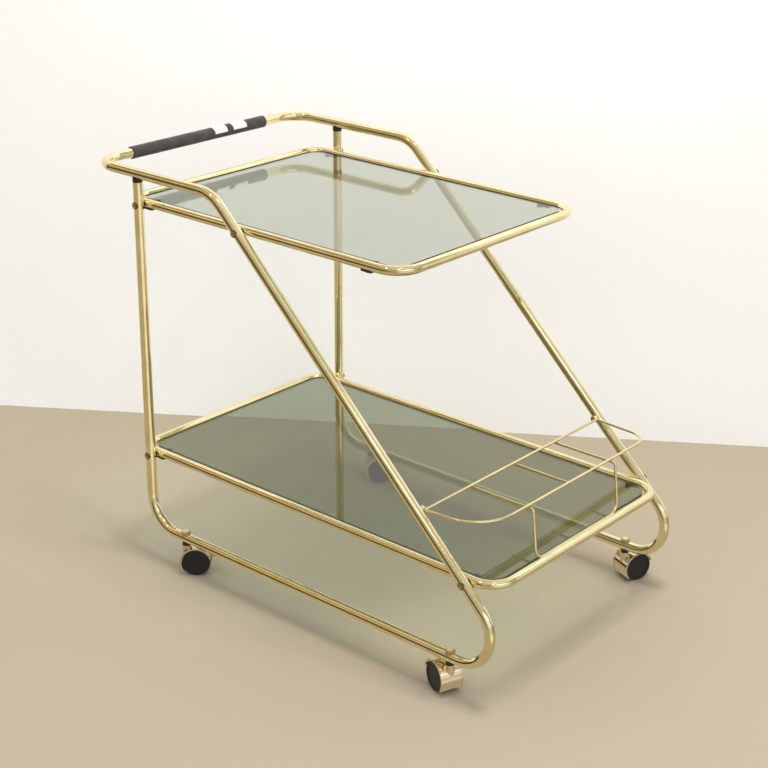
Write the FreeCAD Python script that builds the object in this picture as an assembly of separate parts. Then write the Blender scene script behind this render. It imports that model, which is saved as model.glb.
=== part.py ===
"""Bar cart: bent tube side frames, two glazed trays, a wire bottle rack and four twin-wheel casters.

X runs along the cart with the handle at the rear and the rack at the front, Z is up, millimetres.
Lengths are first laid out from the uprights' axis and the cart's middle plane.
"""
import FreeCAD
import Part
import math
import os

V = FreeCAD.Vector

# Side frames, one bent tube each.
frame_od = 16.0
frame_wall = 1.2
frame_spacing = 444.6
handle_rise = 592.0
handle_reach = 101.9
shoulder_x = 164.0
nose_x = 777.3
heel_radius = 55.0
nose_radius = 54.0
shoulder_radius = 58.0
handle_radius = 46.0

# Joint sleeve and foam grip on the handle bar.
sleeve_length = 60.0
sleeve_wall = 1.5
sleeve_clearance = 0.05
grip_od = 20.4
grip_length = 293.0
grip_offset = -1.0
grip_edge = 2.0

# Saddle plugs between the uprights and the handle arms.
plug_gap = 5.0
plug_lip = 3.0
plug_inset = 0.3
plug_spigot = 20.0
plug_clearance = 0.05

# Tray frames of thinner tube.
tray_od = 14.0
tray_wall = 1.0
tray_rear_x = -36.0
tray_bend_lead = 6.0
tray_front_radius = 38.0
upper_rise = 542.5
upper_front_x = 516.2
lower_rise = 123.4
lower_front_setback = 83.3

# Glass shelves inside the tray frames.
glass_thickness = 5.0
glass_gap = 5.0
glass_top = 2.7

# Domed bolts and saddle spacers between the frames and the trays.
spacer_gap = 0.9
spacer_od = 9.0
bolt_d = 5.0
bolt_hole_clearance = 0.1
bolt_end = 4.0
bolt_head_od = 11.4
bolt_head_seat = 0.4
bolt_head_dome = 3.0

# Glass clips and their screws.
clip_length = 19.0
clip_out = 4.5
clip_in = 6.0
clip_drop = 1.8
clip_tongue_root = 10.0
clip_tongue_tip = 5.0
clip_tongue_reach = 8.0
clip_tongue_height = 4.0
clip_rear_x = 7.0
clip_upper_setback = 59.2
clip_lower_setback = 48.0
clip_screw_d = 3.0
clip_screw_head_d = 5.2
clip_screw_head_h = 1.6
clip_screw_grip = 1.4
clip_screw_clearance = 0.05

# Wire bottle rack.
wire_d = 4.0
rack_rise = 83.3
rack_back_lead = 4.8
rack_front_setback = 25.0
rack_back_gap = 3.3
rack_taper = 7.0
rack_back_radius = 3.0
rack_front_radii = {"right": 66.0, "left": 34.0}
rack_weld_gap = 0.02
rack_end = 1.0
divider_half = 102.5
leg_top_lead = 8.0
leg_bend = 6.0
leg_foot_radius = 18.0
leg_foot_angle = 8.0
eyelet_od = 9.0
eyelet_depth = 3.0
rack_screw_d = 3.5
rack_screw_head_d = 5.2
rack_screw_head_h = 2.2
rack_screw_grip = 4.0
rack_screw_clearance = 0.05

# Casters.
caster_rear_x = 76.7
caster_front_setback = 150.3
caster_trail = 17.0
wheel_d = 45.0
wheel_edge = 1.4
wheel_dish_d = 35.0
wheel_dish_depth = 0.6
wheel_side_gap = 0.4
wheel_inset = 0.8
fender_gap = 1.0
fender_wall = 1.7
fender_rim = 0.8
fender_rim_width = 1.6
fender_tail_deg = 18.0
fender_toe_deg = 216.0
hood_width = 36.0
web_thickness = 9.0
hub_d = 16.0
boss_d = 13.6
stem_d = 6.0
stem_running = 0.05
stem_foot = 2.0
stem_seat = 0.3
stem_thread = 3.0
swivel_gap = 0.3
collar_height = 3.6
collar_d = 12.4
axle_d = 5.0
axle_running = 0.05
axle_half = 13.5
axle_end_gap = 0.4
nut_d = 14.8
nut_wall = 2.6
nut_dome = 2.6
headings_deg = {"rear_right": 38.9, "front_right": 158.9, "front_left": 68.9, "rear_left": 45.0}

# Heights, half widths and places that follow.
frame_r = frame_od / 2
tray_r = tray_od / 2
wire_r = wire_d / 2
wheel_r = wheel_d / 2
fender_in = wheel_r + fender_gap
fender_out = fender_in + fender_wall
hood_top = wheel_r + fender_out
rail_z = hood_top + swivel_gap + collar_height + frame_r
handle_z = rail_z + handle_rise
upper_z = rail_z + upper_rise
lower_z = rail_z + lower_rise
rack_z = lower_z + rack_rise
cross_z = rack_z - wire_d - rack_weld_gap
frame_y = frame_spacing / 2
tray_y = frame_y - frame_r - tray_r - spacer_gap
tray_rear_radius = -tray_rear_x - tray_bend_lead
upright_top = handle_z - frame_r - plug_gap
rack_back_half = frame_y - frame_r - rack_back_gap
rack_front_half = rack_back_half - rack_taper
lower_front_x = nose_x - lower_front_setback
rack_front_x = lower_front_x - rack_front_setback
leg_top_x = rack_front_x + leg_top_lead
caster_front_x = nose_x - caster_front_setback
SIDES = {"right": -1, "left": 1}
TRAYS = {
    "upper": (upper_z, upper_front_x, upper_front_x - clip_upper_setback),
    "lower": (lower_z, lower_front_x, lower_front_x - clip_lower_setback),
}


def diagonal_x(z):
    """Place of the diagonals' axis at a height."""
    return nose_x + (z - rail_z) * (shoulder_x - nose_x) / handle_rise


def rod(a, b, radius):
    """Solid cylinder from a to b."""
    return Part.makeCylinder(radius, (b - a).Length, a, b - a)


def slab(points, height):
    """Flat polygon raised along Z."""
    return Part.Face(Part.makePolygon(points + points[:1])).extrude(V(0, 0, height))


def one(shape):
    """The single solid of a boolean result, with its split faces joined."""
    solids = shape.removeSplitter().Solids
    if len(solids) != 1:
        raise ValueError("expected one solid, found %d" % len(solids))
    return solids[0]


def runs(points, radii, closed=False):
    """Straight runs and arcs of a centre line whose corners are rounded off."""
    count = len(points)
    corners = {}
    for i in range(count) if closed else range(1, count - 1):
        back = (points[i - 1] - points[i]).normalize()
        ahead = (points[(i + 1) % count] - points[i]).normalize()
        angle = back.getAngle(ahead)
        reach = radii[i] / math.tan(angle / 2)
        centre = points[i] + (back + ahead).normalize() * (radii[i] / math.sin(angle / 2))
        start = points[i] + back * reach
        axis = (start - centre).cross(back * -1.0).normalize()
        turn = math.degrees(math.pi - angle)
        corners[i] = (start, points[i] + ahead * reach, centre, axis, turn, back * -1.0)
    parts = []
    for i in range(count if closed else count - 1):
        j = (i + 1) % count
        a = corners[i][1] if i in corners else points[i]
        b = corners[j][0] if j in corners else points[j]
        parts.append(("line", a, b))
        if j in corners:
            start, end, centre, axis, turn, ahead = corners[j]
            parts.append(("arc", start, end, centre, axis, turn, ahead))
    return parts


def ring(at, normal, radius, bore):
    """Disc, or annulus when there is a bore, square to a direction."""
    face = Part.Face(Part.Wire(Part.makeCircle(radius, at, normal)))
    if bore > 0:
        face = face.cut(Part.Face(Part.Wire(Part.makeCircle(bore, at, normal)))).Faces[0]
    return face


def lengths(points, radii, radius, bore=0.0, closed=False):
    """Straight and bent lengths of a tube or rod along a centre line, as cylinders and torus pieces."""
    pieces = []
    for run in runs(points, radii, closed):
        if run[0] == "line":
            pieces.append(ring(run[1], run[2] - run[1], radius, bore).extrude(run[2] - run[1]))
        else:
            pieces.append(ring(run[1], run[6], radius, bore).revolve(run[3], run[4], run[5]))
    return pieces


def bent(points, radii, radius, bore=0.0, closed=False, welded=()):
    """Tube or rod bent along a centre line, in one with what is welded to it."""
    pieces = lengths(points, radii, radius, bore, closed)
    return one(pieces[0].multiFuse(pieces[1:] + list(welded)))


def outline(points, radii):
    """Closed wire of lines and arcs."""
    edges = []
    for run in runs(points, radii, True):
        if run[0] == "line":
            edges.append(Part.LineSegment(run[1], run[2]).toShape())
        else:
            turn = FreeCAD.Rotation(run[4], run[5] / 2)
            middle = run[3] + turn.multVec(run[1] - run[3])
            edges.append(Part.Arc(run[1], middle, run[2]).toShape())
    return Part.Wire(edges)


def dome(base, axis, radius, height):
    """Spherical cap standing on a flat base."""
    ball = (radius * radius + height * height) / (2 * height)
    centre = base - axis * (ball - height)
    return Part.makeSphere(ball, centre).common(rod(base, base + axis * (2 * height), 2 * radius))


def save(name, shapes):
    """Keep a node's solids until the cart is set on its origin."""
    nodes[name] = Part.makeCompound(shapes) if len(shapes) > 1 else shapes[0]


nodes = {}

# Solid cores of the frame tubes, used for saddles.
upright_core = {}
diagonal_core = {}
rail_core = {}
for side, s in SIDES.items():
    y = s * frame_y
    upright_core[side] = rod(V(0, y, rail_z), V(0, y, handle_z), frame_r)
    diagonal_core[side] = rod(V(nose_x, y, rail_z), V(shoulder_x, y, handle_z), frame_r)
    rail_core[side] = rod(V(0, y, rail_z), V(nose_x, y, rail_z), frame_r)

# Side frames with the bolt, stem and rack screw holes.
for side, s in SIDES.items():
    y = s * frame_y
    line = [
        V(0, y, upright_top),
        V(0, y, rail_z),
        V(nose_x, y, rail_z),
        V(shoulder_x, y, handle_z),
        V(-handle_reach, y, handle_z),
        V(-handle_reach, 0, handle_z),
    ]
    bends = [0, heel_radius, nose_radius, shoulder_radius, handle_radius, 0]
    tube = bent(line, bends, frame_r, frame_r - frame_wall)
    holes = []
    for z in (upper_z, lower_z):
        for x in (0, diagonal_x(z)):
            across = V(0, frame_od, 0)
            holes.append(rod(V(x, y, z) - across, V(x, y, z) + across, bolt_d / 2 + bolt_hole_clearance))
    for x in (caster_rear_x, caster_front_x):
        up = V(0, 0, frame_od)
        holes.append(rod(V(x, y, rail_z) - up, V(x, y, rail_z) + up, stem_d / 2 + stem_running))
    at = V(diagonal_x(rack_z), y, rack_z)
    holes.append(rod(at, at - V(0, s * frame_od, 0), rack_screw_d / 2 + rack_screw_clearance))
    save("frame_" + side, [one(tube.cut(holes))])

# Joint sleeve inside the handle bar and the grip over it.
bar = V(-handle_reach, 0, handle_z)
half = V(0, sleeve_length / 2, 0)
sleeve_r = frame_r - frame_wall - sleeve_clearance
sleeve = rod(bar - half, bar + half, sleeve_r).cut(rod(bar - half, bar + half, sleeve_r - sleeve_wall))
save("handle_sleeve", [one(sleeve)])
start = bar + V(0, grip_offset - grip_length / 2, 0)
end = bar + V(0, grip_offset + grip_length / 2, 0)
grip = rod(start, end, grip_od / 2)
grip = grip.makeFillet(grip_edge, [e for e in grip.Edges if e.Closed])
save("handle_grip", [one(grip.cut(rod(start, end, frame_r)))])

# Saddle plugs on the uprights.
for side, s in SIDES.items():
    y = s * frame_y
    saddle = rod(V(0, y, upright_top), V(0, y, handle_z - frame_r + plug_lip), frame_r - plug_inset)
    arm = rod(V(-handle_reach, y, handle_z), V(shoulder_x, y, handle_z), frame_r)
    spigot_r = frame_r - frame_wall - plug_clearance
    spigot = rod(V(0, y, upright_top - plug_spigot), V(0, y, upright_top), spigot_r)
    save("upright_plug_" + side, [one(saddle.cut(arm).fuse(spigot))])

# Tray frames, glass, bolts, spacers and clips.
bolts = []
spacers = []
clip_screws = []
for tray, (z, front_x, clip_front_x) in TRAYS.items():
    rear_right = V(tray_rear_x, -tray_y, z)
    front_right = V(front_x, -tray_y, z)
    front_left = V(front_x, tray_y, z)
    rear_left = V(tray_rear_x, tray_y, z)
    corners = [rear_right, front_right, front_left, rear_left]
    radii = [tray_rear_radius, tray_front_radius, tray_front_radius, tray_rear_radius]
    loop = bent(corners, radii, tray_r, tray_r - tray_wall, True)
    holes = []
    clips = []
    edge = tray_r + glass_gap
    pane_z = z + glass_top - glass_thickness
    pane = [
        V(tray_rear_x + edge, edge - tray_y, pane_z),
        V(front_x - edge, edge - tray_y, pane_z),
        V(front_x - edge, tray_y - edge, pane_z),
        V(tray_rear_x + edge, tray_y - edge, pane_z),
    ]
    sheet = Part.Face(outline(pane, [r - edge for r in radii]))
    save(tray + "_glass", [one(sheet.extrude(V(0, 0, glass_thickness)))])
    for side, s in SIDES.items():
        tray_core = rod(V(tray_rear_x, s * tray_y, z), V(front_x, s * tray_y, z), tray_r)
        for x, core in ((0.0, upright_core[side]), (diagonal_x(z), diagonal_core[side])):
            out = V(0, s, 0)
            inner = V(x, s * (tray_y - bolt_end), z)
            face = V(x, s * (frame_y + frame_r), z)
            middle = V(x, s * frame_y, z)
            seat = face + out * bolt_head_seat
            head = rod(face - out * (frame_r / 3), seat, bolt_head_od / 2)
            head = head.fuse(dome(seat, out, bolt_head_od / 2, bolt_head_dome)).cut(core)
            bolts.append(one(head.fuse(rod(inner, seat, bolt_d / 2))))
            bore = rod(inner, face, bolt_d / 2 + bolt_hole_clearance)
            spacer = rod(V(x, s * tray_y, z), middle, spacer_od / 2).cut(bore)
            spacers.append(one(spacer.cut([tray_core, core])))
            holes.append(rod(inner, middle, bolt_d / 2 + bolt_hole_clearance))
        for x in (clip_rear_x, clip_front_x):
            y = s * tray_y
            under = z - tray_r - clip_drop
            back = x - clip_length / 2
            front = x + clip_length / 2
            outer = y + s * clip_out
            inner = y - s * clip_in
            strip = [(back, outer), (front, outer), (front, inner), (back, inner)]
            strip = slab([V(px, py, under) for px, py in strip], tray_r / 2 + clip_drop)
            low = pane_z - clip_tongue_height
            root = y - s * tray_r / 2
            tip = y - s * (tray_r + glass_gap + clip_tongue_reach)
            wide = clip_tongue_root / 2
            narrow = clip_tongue_tip / 2
            tongue = [(x - wide, root), (x + wide, root), (x + narrow, tip), (x - narrow, tip)]
            tongue = slab([V(px, py, low) for px, py in tongue], clip_tongue_height)
            top = z - tray_r + tray_wall + clip_screw_grip
            screw_r = clip_screw_d / 2
            bore = rod(V(x, y, under), V(x, y, top), screw_r + clip_screw_clearance)
            clips.append(one(strip.fuse(tongue).cut([tray_core, bore])))
            holes.append(bore)
            head_z = under - clip_screw_head_h
            screw = rod(V(x, y, head_z), V(x, y, under), clip_screw_head_d / 2)
            clip_screws.append(one(screw.fuse(rod(V(x, y, under), V(x, y, top), screw_r))))
    save(tray + "_tray_frame", [one(loop.cut(holes))])
    save(tray + "_glass_clips", clips)
save("tray_bolts", bolts)
save("tray_spacers", spacers)
save("clip_screws", clip_screws)

# Bottle rack: loop with eyelets, middle divider, and the wire of the outer dividers and legs.
back_x = diagonal_x(rack_z) + rack_back_lead
loop_line = [
    V(back_x, -rack_back_half, rack_z),
    V(rack_front_x, -rack_front_half, rack_z),
    V(rack_front_x, rack_front_half, rack_z),
    V(back_x, rack_back_half, rack_z),
]
loop_radii = [rack_back_radius, rack_front_radii["right"], rack_front_radii["left"], rack_back_radius]
eyelets = []
bores = []
rack_screws = []
for side, s in SIDES.items():
    at = V(diagonal_x(rack_z), 0, rack_z)
    inner = at + V(0, s * (rack_back_half - eyelet_depth), 0)
    tube = at + V(0, s * frame_y, 0)
    out = V(0, s, 0)
    wall = at + V(0, s * (frame_y - frame_r), 0)
    tip = wall + out * rack_screw_grip
    bores.append(rod(inner, tip, rack_screw_d / 2 + rack_screw_clearance))
    eyelets.append(rod(inner, tube, eyelet_od / 2).cut(diagonal_core[side]))
    head = inner - out * rack_screw_head_h
    screw = rod(head, inner, rack_screw_head_d / 2).fuse(rod(inner, tip, rack_screw_d / 2))
    rack_screws.append(one(screw))
save("rack_loop", [one(bent(loop_line, loop_radii, wire_r, 0.0, True, eyelets).cut(bores))])
save("rack_screws", rack_screws)
divider_back = V(back_x - rack_end, 0, cross_z)
divider_front = V(rack_front_x + rack_end, 0, cross_z)
save("rack_divider", [rod(divider_back, divider_front, wire_r)])
foot = math.radians(leg_foot_angle)
touch = tray_r + wire_r + rack_weld_gap
foot_x = lower_front_x - touch * math.cos(foot)
foot_z = lower_z + touch * math.sin(foot)
leg_line = [
    V(back_x - rack_end, -divider_half, cross_z),
    V(leg_top_x, -divider_half, cross_z),
    V(foot_x, -divider_half, foot_z),
    V(foot_x, divider_half, foot_z),
    V(leg_top_x, divider_half, cross_z),
    V(back_x - rack_end, divider_half, cross_z),
]
leg_radii = [0, leg_bend, leg_foot_radius, leg_foot_radius, leg_bend, 0]
save("rack_leg_wire", [bent(leg_line, leg_radii, wire_r)])


def sector(inner, outer, half_width):
    """Part of a drum round the axle, from the tail of the fender over the top to its toe."""
    def at(radius, degrees):
        a = math.radians(degrees)
        return V(caster_trail + radius * math.cos(a), -half_width, wheel_r + radius * math.sin(a))

    middle = (fender_tail_deg + fender_toe_deg) / 2
    over = Part.Arc(at(outer, fender_tail_deg), at(outer, middle), at(outer, fender_toe_deg)).toShape()
    if inner > 0:
        under = Part.Arc(at(inner, fender_toe_deg), at(inner, middle), at(inner, fender_tail_deg)).toShape()
        first = Part.LineSegment(at(outer, fender_toe_deg), at(inner, fender_toe_deg)).toShape()
        last = Part.LineSegment(at(inner, fender_tail_deg), at(outer, fender_tail_deg)).toShape()
        wire = Part.Wire([over, first, under, last])
    else:
        first = Part.LineSegment(at(outer, fender_toe_deg), at(0, 0)).toShape()
        last = Part.LineSegment(at(0, 0), at(outer, fender_tail_deg)).toShape()
        wire = Part.Wire([over, first, last])
    return Part.Face(wire).extrude(V(0, 2 * half_width, 0))


# One caster at its own swivel axis, trailing along X.
axle_at = V(caster_trail, 0, wheel_r)
hood = sector(fender_in, fender_out, hood_width / 2)
for s in (-1, 1):
    bead = sector(fender_in, fender_out + fender_rim, fender_rim_width / 2)
    hood = hood.fuse(bead.translated(V(0, s * (hood_width - fender_rim_width) / 2, 0)))
side = V(0, web_thickness / 2, 0)
web = sector(0.0, fender_in + fender_wall / 2, web_thickness / 2)
hood = hood.fuse([web, rod(axle_at - side, axle_at + side, hub_d / 2)])
boss = rod(V(0, 0, wheel_r), V(0, 0, hood_top), boss_d / 2)
pockets = []
for s in (-1, 1):
    inner = axle_at + V(0, s * web_thickness / 2, 0)
    pockets.append(rod(inner, inner + V(0, s * hood_width, 0), fender_in))
stem_low = wheel_r + stem_foot
bore = rod(V(0, 0, stem_low - stem_seat), V(0, 0, hood_top), stem_d / 2 + stem_running)
hood = one(hood.fuse(boss.cut(pockets)).cut([bore, rod(axle_at - side, axle_at + side, axle_d / 2)]))
ends = V(0, axle_half, 0)
axle = rod(axle_at - ends, axle_at + ends, axle_d / 2)
wheels = {}
for name, s in (("a", -1), ("b", 1)):
    near = axle_at + V(0, s * (web_thickness / 2 + wheel_side_gap), 0)
    far = axle_at + V(0, s * (hood_width / 2 - wheel_inset), 0)
    wheel = rod(near, far, wheel_r)
    wheel = wheel.makeFillet(wheel_edge, [e for e in wheel.Edges if e.Closed])
    blind = axle_at + V(0, s * (axle_half + axle_end_gap), 0)
    dish = rod(far - V(0, s * wheel_dish_depth, 0), far, wheel_dish_d / 2)
    wheels[name] = one(wheel.cut([dish, rod(near, blind, axle_d / 2 + axle_running)]))
stem_top = rail_z + frame_r + stem_thread
stem = rod(V(0, 0, stem_low), V(0, 0, stem_top), stem_d / 2)
collar = rod(V(0, 0, hood_top + swivel_gap), V(0, 0, rail_z), collar_d / 2)
shoulder_z = rail_z + frame_r + nut_wall
crown = dome(V(0, 0, shoulder_z), V(0, 0, 1), nut_d / 2, nut_dome)
nut = rod(V(0, 0, rail_z), V(0, 0, shoulder_z), nut_d / 2).fuse(crown)
through = rod(V(0, 0, stem_low), V(0, 0, stem_top), stem_d / 2 + stem_running)

# Casters set under the bottom rails, each with its own heading.
collars = []
nuts = []
for corner, heading in headings_deg.items():
    side = corner.split("_")[1]
    x = caster_rear_x if corner.startswith("rear") else caster_front_x
    spot = V(x, SIDES[side] * frame_y, 0)

    def put(shape, turn):
        """Copy of a caster piece turned to its heading and moved to its corner."""
        return shape.rotated(V(0, 0, 0), V(0, 0, 1), turn).translated(spot)

    save("caster_%s_hood" % corner, [put(hood, heading)])
    save("caster_%s_axle" % corner, [put(axle, heading)])
    for name, wheel in wheels.items():
        save("caster_%s_wheel_%s" % (corner, name), [put(wheel, heading)])
    save("caster_%s_stem" % corner, [put(stem, 0.0)])
    collars.append(one(put(collar.cut(through), 0.0).cut(rail_core[side])))
    nuts.append(one(put(nut.cut(through), 0.0).cut(rail_core[side])))
save("caster_collars", collars)
save("cap_nuts", nuts)

# Origin at the middle of the footprint on the floor.
whole = FreeCAD.BoundBox()
for shape in nodes.values():
    whole.add(shape.optimalBoundingBox(False))
shift = V(-whole.Center.x, -whole.Center.y, -whole.ZMin)
os.makedirs("parts", exist_ok=True)
for name, shape in nodes.items():
    shape.translated(shift).exportStep("parts/%s.step" % name)
print("size", round(whole.XLength, 2), round(whole.YLength, 2), round(whole.ZLength, 2))
print("shift", round(shift.x, 3), round(shift.y, 3), round(shift.z, 3))
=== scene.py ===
import bpy
import numpy as np
from mathutils import Matrix, Vector


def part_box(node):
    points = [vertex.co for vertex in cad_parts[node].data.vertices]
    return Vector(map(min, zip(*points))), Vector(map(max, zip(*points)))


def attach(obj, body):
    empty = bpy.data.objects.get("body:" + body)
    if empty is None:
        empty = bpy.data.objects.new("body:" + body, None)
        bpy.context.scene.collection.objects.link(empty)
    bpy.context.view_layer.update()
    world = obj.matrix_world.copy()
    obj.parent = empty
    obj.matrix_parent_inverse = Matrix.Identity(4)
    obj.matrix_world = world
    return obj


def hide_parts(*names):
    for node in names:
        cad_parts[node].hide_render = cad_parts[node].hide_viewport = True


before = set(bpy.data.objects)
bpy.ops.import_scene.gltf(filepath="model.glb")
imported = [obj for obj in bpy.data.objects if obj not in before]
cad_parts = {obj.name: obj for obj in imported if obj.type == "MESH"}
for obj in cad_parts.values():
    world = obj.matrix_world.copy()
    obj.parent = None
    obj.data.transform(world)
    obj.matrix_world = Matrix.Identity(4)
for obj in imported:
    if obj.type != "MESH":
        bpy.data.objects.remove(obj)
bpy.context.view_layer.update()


# Side frames: one 16 mm steel tube a side, bent cold into upright, rail, diagonal and half of the handle,
# then polished and brass plated. The tray bolts, caster stems and rack screws pass through drilled holes.
class Shade:
    """A socket in a material's nodes. Arithmetic on it with numbers or other sockets adds Math nodes."""

    def __init__(self, tree, socket):
        self.tree = tree
        self.socket = socket

    def node(self, kind, settings, inputs, output=0):
        """Adds one node: its settings first, then the values or links of its sockets."""
        made = self.tree.nodes.new(kind)
        for name, value in settings.items():
            setattr(made, name, value)
        for name, value in inputs.items():
            if isinstance(value, Shade):
                self.tree.links.new(value.socket, made.inputs[name])
            else:
                made.inputs[name].default_value = value
        return Shade(self.tree, made.outputs[output])

    def math(self, operation, first, second):
        """A Math node on two values."""
        return self.node("ShaderNodeMath", {"operation": operation}, {0: first, 1: second})

    def __add__(self, other):
        return self.math("ADD", self, other)

    def __radd__(self, other):
        return self.math("ADD", other, self)

    def __sub__(self, other):
        return self.math("SUBTRACT", self, other)

    def __rsub__(self, other):
        return self.math("SUBTRACT", other, self)

    def __mul__(self, other):
        return self.math("MULTIPLY", self, other)

    def __rmul__(self, other):
        return self.math("MULTIPLY", other, self)

    def axes(self):
        """The X, Y and Z values of a vector."""
        split = self.node("ShaderNodeSeparateXYZ", {}, {0: self}).socket.node
        return [Shade(self.tree, output) for output in split.outputs]

    def rise(self, low, high):
        """0 below low and 1 above high, with a smooth step between."""
        settings = {"interpolation_type": "SMOOTHSTEP"}
        return self.node("ShaderNodeMapRange", settings, {"Value": self, "From Min": low, "From Max": high})

    def noise(self, scale, detail=3.0, roughness=0.55):
        """Noise at this place, with features about 1/scale metres across."""
        inputs = {"Vector": self, "Scale": scale, "Detail": detail, "Roughness": roughness}
        return self.node("ShaderNodeTexNoise", {}, inputs)

    def colours(self, first, second):
        """From the first colour to the second as this value goes from 0 to 1."""
        first_slot, second_slot, result_slot = 6, 7, 2
        inputs = {0: self}
        for slot, colour in ((first_slot, first), (second_slot, second)):
            inputs[slot] = colour if isinstance(colour, Shade) else (*colour, 1.0)
        return self.node("ShaderNodeMix", {"data_type": "RGBA"}, inputs, result_slot)

    def into(self, socket):
        """Links this value to a shader's socket."""
        self.tree.links.new(self.socket, socket)

    def relief(self, shader, strength, depth):
        """Lets this height roughen the shader's normal, depth in metres."""
        inputs = {"Height": self, "Strength": strength, "Distance": depth}
        self.node("ShaderNodeBump", {}, inputs).into(shader.inputs["Normal"])


def new_finish(name, uniform):
    """Material with one Principled shader, what is the same all over set on its own sockets."""
    material = bpy.data.materials.new(name)
    material.use_nodes = True
    tree = material.node_tree
    shader = tree.nodes["Principled BSDF"]
    for socket, value in uniform.items():
        shader.inputs[socket].default_value = value
    return material, Shade(tree, tree.nodes.new("ShaderNodeTexCoord").outputs["Object"]), shader


def nearest(place, spots, across):
    """Distance in metres to the nearest of some spots: the root of the summed squares along some axes."""
    axes = place.axes()
    found = None
    for spot in spots:
        offsets = [axes[k] - float(spot[k]) for k in across]
        squares = [offset * offset for offset in offsets]
        total = sum(squares[1:], squares[0])
        far = total.math("POWER", total, 0.5)
        found = far if found is None else far.math("MINIMUM", found, far)
    return found


def plating(name, pale, deep, tarnish, gloss, spots):
    """Polished brass plating: cloudy tone, mop haze, tarnish specks, and fine creases round some spots."""
    material, place, shader = new_finish(name, {"Metallic": 1.0})
    cloud = place.noise(26.0, 4.0, 0.6)
    haze = place.noise(480.0)
    specks = place.noise(900.0, 2.0).rise(0.70, 0.78) * place.noise(38.0).rise(0.50, 0.66)
    worn = cloud.rise(0.30, 0.72).colours(pale, deep)
    (specks * 0.8).colours(worn, tarnish).into(shader.inputs["Base Color"])
    (cloud * 0.05 + haze * 0.04 + specks * 0.3 + gloss).into(shader.inputs["Roughness"])
    bumps = haze - specks
    if spots:
        crease_full, crease_none, crease_height = 0.03, 0.06, 7.0
        creased = 1.0 - nearest(place, spots, (0, 1, 2)).rise(crease_full, crease_none)
        bumps = bumps + creased * place.noise(170.0, 2.0) * crease_height
    bumps.relief(shader, 0.05, 0.0004)
    return material


def dress(material, *names):
    """Gives CAD nodes a finish."""
    for name in names:
        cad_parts[name].material_slots[0].material = material


def middle(node):
    """Centre of a CAD node's box: half the sum of its lowest and highest corners."""
    low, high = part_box(node)
    return (low + high) / 2


# Spots with creases round them, as x and z in a frame's plane. The nose's stands ahead of its bend.
frame_spots = {"heel": (-0.281, 0.076), "nose": (0.43, 0.12), "shoulder": (-0.133, 0.648)}
handle_corner_x, handle_corner_z, handle_corner_share = -0.385, 0.6516, 0.94
tray_corner_inset = 0.017
crease_spots = []
for hand in ("right", "left"):
    frame_y = middle("upright_plug_" + hand).y
    crease_spots += [(x, frame_y, z) for x, z in frame_spots.values()]
    crease_spots.append((handle_corner_x, frame_y * handle_corner_share, handle_corner_z))
for tray in ("upper_tray_frame", "lower_tray_frame"):
    low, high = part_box(tray)
    corner_xs = (low.x + tray_corner_inset, high.x - tray_corner_inset)
    corner_ys = (low.y + tray_corner_inset, high.y - tray_corner_inset)
    crease_spots += [(x, y, middle(tray).z) for x in corner_xs for y in corner_ys]
tube_pale, tube_deep, tube_tarnish = (0.95, 0.86, 0.56), (0.88, 0.75, 0.42), (0.26, 0.16, 0.06)
tube_brass = plating("brass_tube_plating", tube_pale, tube_deep, tube_tarnish, 0.02, crease_spots)
dress(tube_brass, "frame_right", "frame_left")

# Handle: a steel sleeve joins the two frame tubes inside, and a closed-cell foam tube is pushed over the bar.
# Its skin is a little uneven, the ends are cut by hand, and two blank paper stickers are stuck on it.
sleeve_dark, sleeve_light = (0.50, 0.49, 0.47), (0.62, 0.61, 0.59)
sleeve_steel, sleeve_place, sleeve_shader = new_finish("sleeve_bare_steel", {"Metallic": 1.0})
drawn = sleeve_place.noise(300.0)
drawn.colours(sleeve_dark, sleeve_light).into(sleeve_shader.inputs["Base Color"])
(drawn * 0.2 + 0.25).into(sleeve_shader.inputs["Roughness"])
dress(sleeve_steel, "handle_sleeve")


def skin(name, grid, loop_u, loop_v):
    """Object over a grid of points: quads between neighbours, closed on itself along u, v or both."""
    count_u, count_v = grid.shape[:2]
    u = np.arange(count_u if loop_u else count_u - 1)
    v = np.arange(count_v if loop_v else count_v - 1)
    row, column = np.meshgrid(u, v, indexing="ij")
    next_row = (row + 1) % count_u
    next_column = (column + 1) % count_v
    corners = ((row, column), (row, next_column), (next_row, next_column), (next_row, column))
    quads = np.stack([across * count_v + along for across, along in corners], -1).reshape(-1, 4)
    mesh = bpy.data.meshes.new(name)
    mesh.from_pydata(grid.reshape(-1, 3).tolist(), [], quads.tolist())
    mesh.shade_smooth()
    piece = bpy.data.objects.new(name, mesh)
    bpy.context.scene.collection.objects.link(piece)
    return piece


grip_low, grip_high = (np.array(corner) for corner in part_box("handle_grip"))
grip_axis = (grip_low + grip_high) / 2
grip_radius = (grip_high[2] - grip_low[2]) / 2
grip_start, grip_end = grip_low[1], grip_high[1]
bar_radius = 0.00802
foam_slack, wave_height, dent_depth = 0.00016, 0.00006, 0.00022


def foam_radius(y, turn):
    """Outer radius of the grip: nominal less a slack, plus three sine waves, less two bell-shaped dents."""
    along = (y - grip_start) / (grip_end - grip_start)
    waves = np.sin(23.0 * along + 2.0 * turn)
    waves = waves + 0.7 * np.sin(41.0 * along - turn + 1.3)
    waves = waves + 0.5 * np.sin(67.0 * along + 3.0 * turn)
    dents = np.exp(-((along - 0.33) / 0.05) ** 2 - ((turn - 0.9) / 0.6) ** 2)
    dents = dents + 0.8 * np.exp(-((along - 0.47) / 0.04) ** 2 - ((turn - 1.6) / 0.5) ** 2)
    return grip_radius - foam_slack + wave_height * waves - dent_depth * dents


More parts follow.
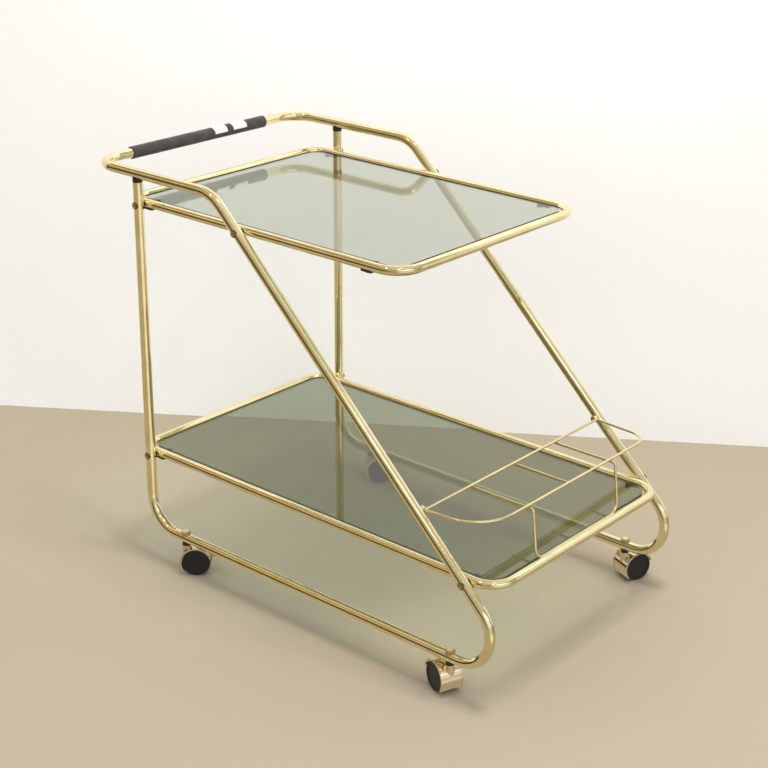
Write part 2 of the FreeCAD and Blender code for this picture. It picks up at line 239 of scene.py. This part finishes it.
def foam_grip():
    """Closed profile carried round the bar: bore, rolled end, outer length by foam_radius, rolled end, bore.

    A rolled end is a quarter circle. Close to the ends the rings wander along the bar by two sine waves.
    """
    length_rows, roll_rows, spokes = 150, 9, 96
    roll_near, roll_far, ragged_reach = 0.0011, 0.0018, 0.004
    length = np.linspace(0.0, 1.0, length_rows)
    quarter = np.linspace(0.0, np.pi / 2, roll_rows)
    y = np.concatenate([
        [grip_start],
        grip_start + roll_near * (1 - np.cos(quarter[:-1])),
        grip_start + roll_near + length * (grip_end - grip_start - roll_near - roll_far),
        grip_end - roll_far * (1 - np.sin(quarter[1:])),
        [grip_end],
    ])[:, None]
    drop = np.concatenate([
        [0.0],
        roll_near * (1 - np.sin(quarter[:-1])),
        np.zeros(length_rows),
        roll_far * (1 - np.cos(quarter[1:])),
        [0.0],
    ])[:, None]
    turn = np.linspace(-np.pi, np.pi, spokes, endpoint=False)[None, :]
    radius = foam_radius(y, turn) - drop
    radius[[0, -1]] = bar_radius
    ragged = 0.0003 * np.sin(5.0 * turn + 0.7) + 0.0002 * np.sin(11.0 * turn)
    near_end = np.clip(1 - (y - grip_start) / ragged_reach, 0, 1)
    far_end = np.clip(1 - (grip_end - y) / ragged_reach, 0, 1)
    grid = np.stack([
        grip_axis[0] + radius * np.cos(turn),
        y + ragged * (near_end + far_end),
        grip_axis[2] + radius * np.sin(turn),
    ], -1)
    return skin("grip_sleeve", grid, True, True)


foam_dark, foam_worn = (0.032, 0.029, 0.026), (0.062, 0.056, 0.050)
foam_uniform = {"Specular IOR Level": 0.35, "Sheen Weight": 0.25}
foam, foam_place, foam_shader = new_finish("grip_foam_skin", foam_uniform)
pores = foam_place.node("ShaderNodeTexVoronoi", {}, {"Vector": foam_place, "Scale": 1500.0})
handled = foam_place.noise(60.0, 4.0)
crumb = foam_place.noise(2600.0, 2.0)
foam_tone = (handled * 0.7 + crumb * 0.3).rise(0.3, 0.7)
foam_tone.colours(foam_dark, foam_worn).into(foam_shader.inputs["Base Color"])
(0.92 - handled * 0.25).into(foam_shader.inputs["Roughness"])
(pores + crumb * 0.6).relief(foam_shader, 0.5, 0.0004)
grip = foam_grip()
grip.data.materials.append(foam)
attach(grip, "cart")
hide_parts("handle_grip")

sticker_spans = {"sticker_inner": (0.0127, 0.0404), "sticker_outer": (0.0543, 0.0846)}
wrap_low, wrap_high = np.radians(2.0), np.radians(132.0)
paper_thickness, paper_lift, border_lift = 0.00012, 0.00022, 0.00012


def sticker(name, start, end):
    """Paper patch wrapped on the foam: y from start to end, angle from wrap_low to wrap_high.

    Its radius is foam_radius plus a lift, two sine creases, and an eighth power that raises the borders.
    """
    across = np.linspace(0.0, 1.0, 36)[:, None]
    around = np.linspace(0.0, 1.0, 40)[None, :]
    y = start + (end - start) * across + 0.0004 * np.sin(9.0 * around)
    turn = wrap_low + (wrap_high - wrap_low) * around + 0.01 * np.sin(7.0 * across)
    border = np.abs(2 * across - 1) ** 8 + np.abs(2 * around - 1) ** 8
    crease = 0.00006 * np.sin(19.0 * across + 5.0 * around) + 0.00005 * np.sin(31.0 * around - 8.0 * across)
    radius = foam_radius(y, turn) + paper_lift + crease + border_lift * border
    grid = np.stack([grip_axis[0] + radius * np.cos(turn), y, grip_axis[2] + radius * np.sin(turn)], -1)
    patch = skin(name, grid, False, False)
    sheet = patch.modifiers.new("paper", "SOLIDIFY")
    sheet.thickness = paper_thickness
    sheet.offset = -1.0
    return patch


paper_clean, paper_rubbed = (0.79, 0.77, 0.74), (0.70, 0.68, 0.645)
paper, paper_place, paper_shader = new_finish("sticker_blank_paper", {"Specular IOR Level": 0.4})
rubbed = paper_place.noise(170.0, 4.0)
rubbed.rise(0.45, 0.75).colours(paper_clean, paper_rubbed).into(paper_shader.inputs["Base Color"])
(rubbed * 0.3 + 0.45).into(paper_shader.inputs["Roughness"])
paper_place.noise(900.0).relief(paper_shader, 0.15, 0.0002)
for name, (start, end) in sticker_spans.items():
    patch = sticker(name, start, end)
    patch.data.materials.append(paper)
    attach(patch, "cart")


# Saddle plugs, tray spacers, glass clips and caster collars: small black injection mouldings with a satin
# tooled skin. The plugs are pushed into the uprights, the clips screwed up under the tray rails.
def moulded(name, dark, light):
    """Satin black plastic: fine tooling grain and paler rubbed patches."""
    material, place, shader = new_finish(name, {"Specular IOR Level": 0.45})
    grain = place.noise(1300.0, 2.0)
    rub = place.noise(90.0, 4.0)
    rub.rise(0.42, 0.72).colours(dark, light).into(shader.inputs["Base Color"])
    (rub * 0.25 + grain * 0.1 + 0.32).into(shader.inputs["Roughness"])
    grain.relief(shader, 0.12, 0.0003)
    return material


moulding_dark, moulding_rubbed = (0.012, 0.012, 0.012), (0.035, 0.033, 0.030)
black_moulding = moulded("black_plastic_satin", moulding_dark, moulding_rubbed)
dress(black_moulding, "upright_plug_right", "upright_plug_left", "tray_spacers", "upper_glass_clips",
      "lower_glass_clips", "caster_collars")

# Tray frames: closed loops of 14 mm tube with the same plating, the lower one longer than the upper one.
# Each hangs between the side frames on four bolts.
dress(tube_brass, "upper_tray_frame", "lower_tray_frame")


# Tray bolts: domed brass heads, coloured brighter on the crown and darker towards the rim, each seated on the
# outside of a frame tube and run through it and the spacer into the tray rail.
def crown_to_skirt_head(name, centres, across, reach, crown, skirt, bare):
    """Brass from the crown's colour to the skirt's, by distance to the nearest head's axis out to the reach.

    The distance is measured along the axes across the head. bare is the share of bright metal, the rest
    being dull film.
    """
    material, place, shader = new_finish(name, {"Metallic": bare})
    mottle = place.noise(500.0, 4.0)
    ring = (nearest(place, centres, across) + (mottle - 0.5) * 0.0016).rise(0.35 * reach, 0.95 * reach)
    ring.colours(crown, skirt).into(shader.inputs["Base Color"])
    (ring * 0.22 + mottle * 0.12 + 0.16).into(shader.inputs["Roughness"])
    mottle.relief(shader, 0.1, 0.0003)
    return material


upright_x = middle("upright_plug_right").x
diagonal_x = {"upper_tray_frame": -0.08145, "lower_tray_frame": 0.35273}
bolt_spots = []
for tray, front_x in diagonal_x.items():
    bolt_spots += [(x, 0, middle(tray).z) for x in (upright_x, front_x)]
bolt_crown, bolt_skirt, bolt_reach = (0.72, 0.58, 0.31), (0.17, 0.12, 0.055), 0.0057
domed_bolt_brass = crown_to_skirt_head("bolt_brass_crown_to_skirt", bolt_spots, (0, 2), bolt_reach, bolt_crown, bolt_skirt, 1.0)
dress(domed_bolt_brass, "tray_bolts")

# Screws of the clips and the rack: small zinc plated pan heads, driven up through the clips into the tray
# rails, and through the rack's eyelets into the side frames.
zinc_bright, zinc_dull = (0.55, 0.53, 0.50), (0.36, 0.33, 0.28)
zinc, zinc_place, zinc_shader = new_finish("screw_zinc", {"Metallic": 1.0})
bloom = zinc_place.noise(700.0, 4.0)
bloom.colours(zinc_bright, zinc_dull).into(zinc_shader.inputs["Base Color"])
(bloom * 0.3 + 0.2).into(zinc_shader.inputs["Roughness"])
dress(zinc, "clip_screws", "rack_screws")


# Glass shelves: 5 mm smoked float glass with ground edges, resting on the clips inside each tray frame.
# Both are tinted right through and carry faint wiping marks. The lower one's deeper tint is painted shade,
# standing in for the shaded floor seen through it.
def smoked(name, pane, body, ground, bevel):
    """Float glass of one body tint: edges and a bevel in one diffuse colour, wiping marks, and a pale shadow.

    The bevel is where the least of x - x0, x1 - x, y - y0 and y1 - y, measured to the pane's box, is small.
    """
    material, place, shader = new_finish(name, {"Transmission Weight": 1.0, "IOR": 1.5})
    tree = material.node_tree
    low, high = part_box(pane)
    x, y, _ = place.axes()
    inset_x = x.math("MINIMUM", x - low.x, high.x - x)
    inset_y = y.math("MINIMUM", y - low.y, high.y - y)
    inset = x.math("MINIMUM", inset_x, inset_y)
    upward = place.node("ShaderNodeNewGeometry", {}, {}, "Normal").axes()[2]
    flat_face = upward.math("ABSOLUTE", upward, 0.0).rise(0.3, 0.8)
    rim = 1.0 - flat_face * inset.rise(bevel, bevel + 0.0003)
    wipes = place.noise(14.0, 5.0).rise(0.52, 0.75) * place.noise(260.0, 3.0).rise(0.35, 0.7)
    wipes.colours(body, [1.06 * c for c in body]).into(shader.inputs["Base Color"])
    (wipes * 0.05).into(shader.inputs["Roughness"])
    sheet = Shade(tree, shader.outputs["BSDF"])
    edge = place.node("ShaderNodeBsdfDiffuse", {}, {"Color": (*ground, 1.0)})
    sheet_or_edge = place.node("ShaderNodeMixShader", {}, {0: rim, 1: sheet, 2: edge})
    shaded = place.node("ShaderNodeLightPath", {}, {}, "Is Shadow Ray")
    pale_shadow = place.node("ShaderNodeBsdfTransparent", {}, {"Color": (0.75, 0.79, 0.83, 1.0)})
    glass = place.node("ShaderNodeMixShader", {}, {0: shaded, 1: sheet_or_edge, 2: pale_shadow})
    glass.into(tree.nodes["Material Output"].inputs["Surface"])
    return material


# The upper pane's edges and bevel are near black, which draws a dark line round its rim.
upper_body, upper_dark_edge, upper_bevel = (0.53, 0.575, 0.49), (0.03, 0.026, 0.016), 0.0012
clear_smoke = smoked("smoked_glass_upper", "upper_glass", upper_body, upper_dark_edge, upper_bevel)
dress(clear_smoke, "upper_glass")
# The lower pane's deeper body tint is painted shade for the shaded floor beneath the cart.
lower_tint_and_shade, lower_ground, lower_bevel = (0.315, 0.355, 0.245), (0.15, 0.17, 0.11), 0.0
lower_smoke_and_shade = smoked("smoked_glass_lower", "lower_glass", lower_tint_and_shade, lower_ground, lower_bevel)
dress(lower_smoke_and_shade, "lower_glass")

# Bottle rack: 4 mm brass plated wire, a loop with an eyelet at each frame, a middle divider, and one wire for
# the outer dividers and the two legs, brazed where they cross and where the foot lies on the tray rail.
wire_pale, wire_deep, wire_tarnish = (0.92, 0.82, 0.52), (0.83, 0.69, 0.39), (0.22, 0.13, 0.05)
wire_brass = plating("brass_wire_plating", wire_pale, wire_deep, wire_tarnish, 0.08, [])
dress(wire_brass, "rack_loop", "rack_divider", "rack_leg_wire")

# Casters: a swivel stem and cap nut through the rail, a plated zinc hood over two wheels, and a steel axle.
# The wheels are black mouldings with turned rings on their discs and floor dust on their treads.
hood_pale, hood_deep, hood_tarnish = (0.86, 0.74, 0.55), (0.74, 0.60, 0.40), (0.28, 0.20, 0.12)
hood_gold = plating("hood_champagne_plating", hood_pale, hood_deep, hood_tarnish, 0.12, [])
caster_corners = ("rear_right", "front_right", "front_left", "rear_left")
nut_spots = [middle("caster_%s_stem" % corner) for corner in caster_corners]
# The cap nuts are coloured bright on the crown, a painted highlight, and darker on the skirt, painted shade.
nut_crown_highlight, nut_skirt_shade, nut_reach = (0.97, 0.84, 0.54), (0.42, 0.29, 0.13), 0.0074
highlighted_nut_brass = crown_to_skirt_head("cap_nut_brass_painted_highlight", nut_spots, (0, 1), nut_reach, nut_crown_highlight, nut_skirt_shade, 0.45)
dress(highlighted_nut_brass, "cap_nuts")
wheel_moulding, wheel_dust = (0.009, 0.009, 0.010), (0.060, 0.056, 0.050)
tread_start, tread_full = 0.0205, 0.0222


def wheel_finish(name, centre, heading):
    """Black moulded wheel: sine rings by distance from the axle, the root of x x + z z, and a dusty tread."""
    material, place, shader = new_finish(name, {"Specular IOR Level": 0.4})
    settings = {"vector_type": "TEXTURE"}
    inputs = {"Vector": place, "Location": tuple(centre), "Rotation": (0.0, 0.0, heading)}
    x, _, z = place.node("ShaderNodeMapping", settings, inputs).axes()
    reach = x.math("POWER", x * x + z * z, 0.5)
    scuff = place.noise(160.0, 5.0, 0.65)
    tread = reach.rise(tread_start, tread_full)
    dust = tread * scuff.rise(0.35, 0.65) * 0.8 + scuff.rise(0.6, 0.8) * 0.25
    dust.colours(wheel_moulding, wheel_dust).into(shader.inputs["Base Color"])
    (scuff * 0.25 + tread * 0.15 + 0.33).into(shader.inputs["Roughness"])
    rings = reach.math("SINE", reach * 5200.0, 0.0)
    (rings * 0.3 + scuff).relief(shader, 0.12, 0.0003)
    return material


for corner in caster_corners:
    axle = middle("caster_%s_axle" % corner)
    stem = middle("caster_%s_stem" % corner)
    heading = float(np.arctan2(axle.y - stem.y, axle.x - stem.x))
    black = wheel_finish("wheel_black_" + corner, axle, heading)
    dress(black, "caster_%s_wheel_a" % corner, "caster_%s_wheel_b" % corner)
    dress(zinc, "caster_%s_stem" % corner, "caster_%s_axle" % corner)
    dress(hood_gold, "caster_%s_hood" % corner)


# Studio: a plain pale floor, a plain pale wall behind the cart that is seen from its front only, soft light
# from above, a room that shows only in reflections, and the camera.
def flat(name, corners, colour):
    """One plain rectangle of the set."""
    mesh = bpy.data.meshes.new(name)
    mesh.from_pydata(corners, [], [(0, 1, 2, 3)])
    piece = bpy.data.objects.new(name, mesh)
    bpy.context.scene.collection.objects.link(piece)
    material, place, shader = new_finish(name + "_paint", {"Roughness": 0.9, "Specular IOR Level": 0.1})
    tone = place.noise(1.4, 2.0).rise(0.2, 0.8)
    tone.colours(colour, [0.96 * c for c in colour]).into(shader.inputs["Base Color"])
    mesh.materials.append(material)
    return piece, place, shader


floor_colour, wall_colour = (0.44, 0.375, 0.275), (0.95, 0.945, 0.935)
floor_corners = [(-20, -20, 0), (20, -20, 0), (20, 20, 0), (-20, 20, 0)]
floor, _, _ = flat("studio_floor", floor_corners, floor_colour)
floor.visible_glossy = False
wall_foot = Vector((-0.3765, 0.3995, 0.0))
wall_run = Vector((0.8326, 0.5540, 0.0)) * 6.0
wall_top = Vector((0, 0, 1.6))
wall_corners = [wall_foot - wall_run, wall_foot + wall_run, wall_foot + wall_run + wall_top,
                wall_foot - wall_run + wall_top]
_, wall_place, wall_shader = flat("studio_wall", wall_corners, wall_colour)
wall_shader.inputs["Emission Color"].default_value = (0.92, 0.96, 1.0, 1.0)
wall_shader.inputs["Emission Strength"].default_value = 0.06
behind = wall_place.node("ShaderNodeNewGeometry", {}, {}, "Backfacing")
clear = wall_place.node("ShaderNodeBsdfTransparent", {}, {})
shown = Shade(wall_place.tree, wall_shader.outputs["BSDF"])
one_sided = wall_place.node("ShaderNodeMixShader", {}, {0: behind, 1: shown, 2: clear})
one_sided.into(wall_place.tree.nodes["Material Output"].inputs["Surface"])

ground_dim, ground_lit = (0.47, 0.40, 0.28), (1.0, 0.94, 0.84)
grey_walls, brown_walls, window_wall = (0.48, 0.45, 0.38), (0.30, 0.21, 0.11), (0.90, 0.92, 0.95)
streak_cream, skirting_brown = (0.85, 0.76, 0.58), (0.035, 0.022, 0.010)
ceiling_warm, ceiling_white = (0.70, 0.60, 0.45), (0.78, 0.77, 0.74)
window_glare, bulb_glare = (2.2, 2.15, 2.0), (9.0, 8.7, 8.0)
even_light, backdrop_white = (1.0, 1.01, 1.04), (0.92, 0.91, 0.89)
bulb_directions = ((0.24, -0.08, 0.967), (-0.18, -0.52, 0.835), (0.50, -0.50, 0.707))
scene = bpy.context.scene
world = bpy.data.worlds.new("studio_room")
scene.world = world
world.use_nodes = True
room = world.node_tree
sky = Shade(room, room.nodes.new("ShaderNodeTexCoord").outputs["Generated"])
east, north, height = sky.axes()
left_front = (0.0 - east * 0.77 - north * 0.64).rise(0.35, 0.75)
window = (east * 0.96 - north * 0.28).rise(0.72, 0.95)
ground = (window * height.rise(-0.60, -0.40)).colours(ground_dim, ground_lit)
walls = window.colours(left_front.colours(grey_walls, brown_walls), window_wall)
streak = left_front * height.rise(0.38, 0.43) * (1.0 - height.rise(0.50, 0.55))
walls = streak.colours(walls, streak_cream)
ceiling = (east * 0.97 + north * 0.26).rise(-0.3, 0.6).colours(ceiling_warm, ceiling_white)
mirrored = height.rise(-0.02, 0.10).colours(ground, height.rise(0.62, 0.85).colours(walls, ceiling))
skirting = height.rise(-0.28, -0.18) * (1.0 - height.rise(0.03, 0.12))
mirrored = (skirting * (left_front * 0.65 + 0.35)).colours(mirrored, skirting_brown)
window_pane = window * height.rise(0.34, 0.42) * (1.0 - height.rise(0.58, 0.66))
mirrored = window_pane.colours(mirrored, window_glare)
for x, y, z in bulb_directions:
    bulb = (east * x + north * y + height * z).rise(0.9980, 0.9993)
    mirrored = bulb.colours(mirrored, bulb_glare)
from_camera = sky.node("ShaderNodeLightPath", {}, {}, "Is Camera Ray")
through_glass = sky.node("ShaderNodeLightPath", {}, {}, "Is Transmission Ray")
in_mirror = sky.node("ShaderNodeLightPath", {}, {}, "Is Glossy Ray")
direct = sky.math("MAXIMUM", from_camera, through_glass)
lit = in_mirror.colours(even_light, mirrored)
backdrop = direct.colours(lit, backdrop_white)
backdrop.into(room.nodes["Background"].inputs["Color"])
room.nodes["Background"].inputs["Strength"].default_value = 1.0

lamp = bpy.data.lights.new("softbox_overhead", "AREA")
lamp.shape = "RECTANGLE"
lamp.size = 0.6
lamp.size_y = 0.6
lamp.energy = 38.0
lamp.color = (1.0, 0.98, 0.94)
softbox = bpy.data.objects.new("softbox_overhead", lamp)
softbox.location = (0.6, -0.1, 2.6)
softbox_aim = Vector((0, 0, 0.3))
softbox.rotation_euler = (softbox_aim - softbox.location).to_track_quat("-Z", "Y").to_euler()
softbox.visible_glossy = False
scene.collection.objects.link(softbox)

picture_px, focal_px = 768, 1681.84
shift_x_px, shift_y_px = -71.687, -82.629
sensor_mm = 36.0
eye = (1.63405, -1.85299, 1.3334)
azimuth, elevation, roll = np.radians([38.879, 19.586, 0.981])
level = np.cos(elevation)
look = np.array([-np.sin(azimuth) * level, np.cos(azimuth) * level, -np.sin(elevation)])
level_right = np.array([np.cos(azimuth), np.sin(azimuth), 0.0])
level_up = np.cross(level_right, look)
right = np.cos(roll) * level_right + np.sin(roll) * level_up
up = np.cos(roll) * level_up - np.sin(roll) * level_right
camera_place = np.eye(4)
camera_place[:3, :3] = np.stack([right, up, -look], 1)
camera_place[:3, 3] = eye
lens = bpy.data.cameras.new("view")
lens.sensor_width = sensor_mm
lens.lens = focal_px / picture_px * sensor_mm
lens.shift_x = shift_x_px / picture_px
lens.shift_y = shift_y_px / picture_px
camera = bpy.data.objects.new("view", lens)
camera.matrix_world = Matrix(camera_place.tolist())
scene.collection.objects.link(camera)
scene.camera = camera
scene.view_settings.view_transform = "Standard"
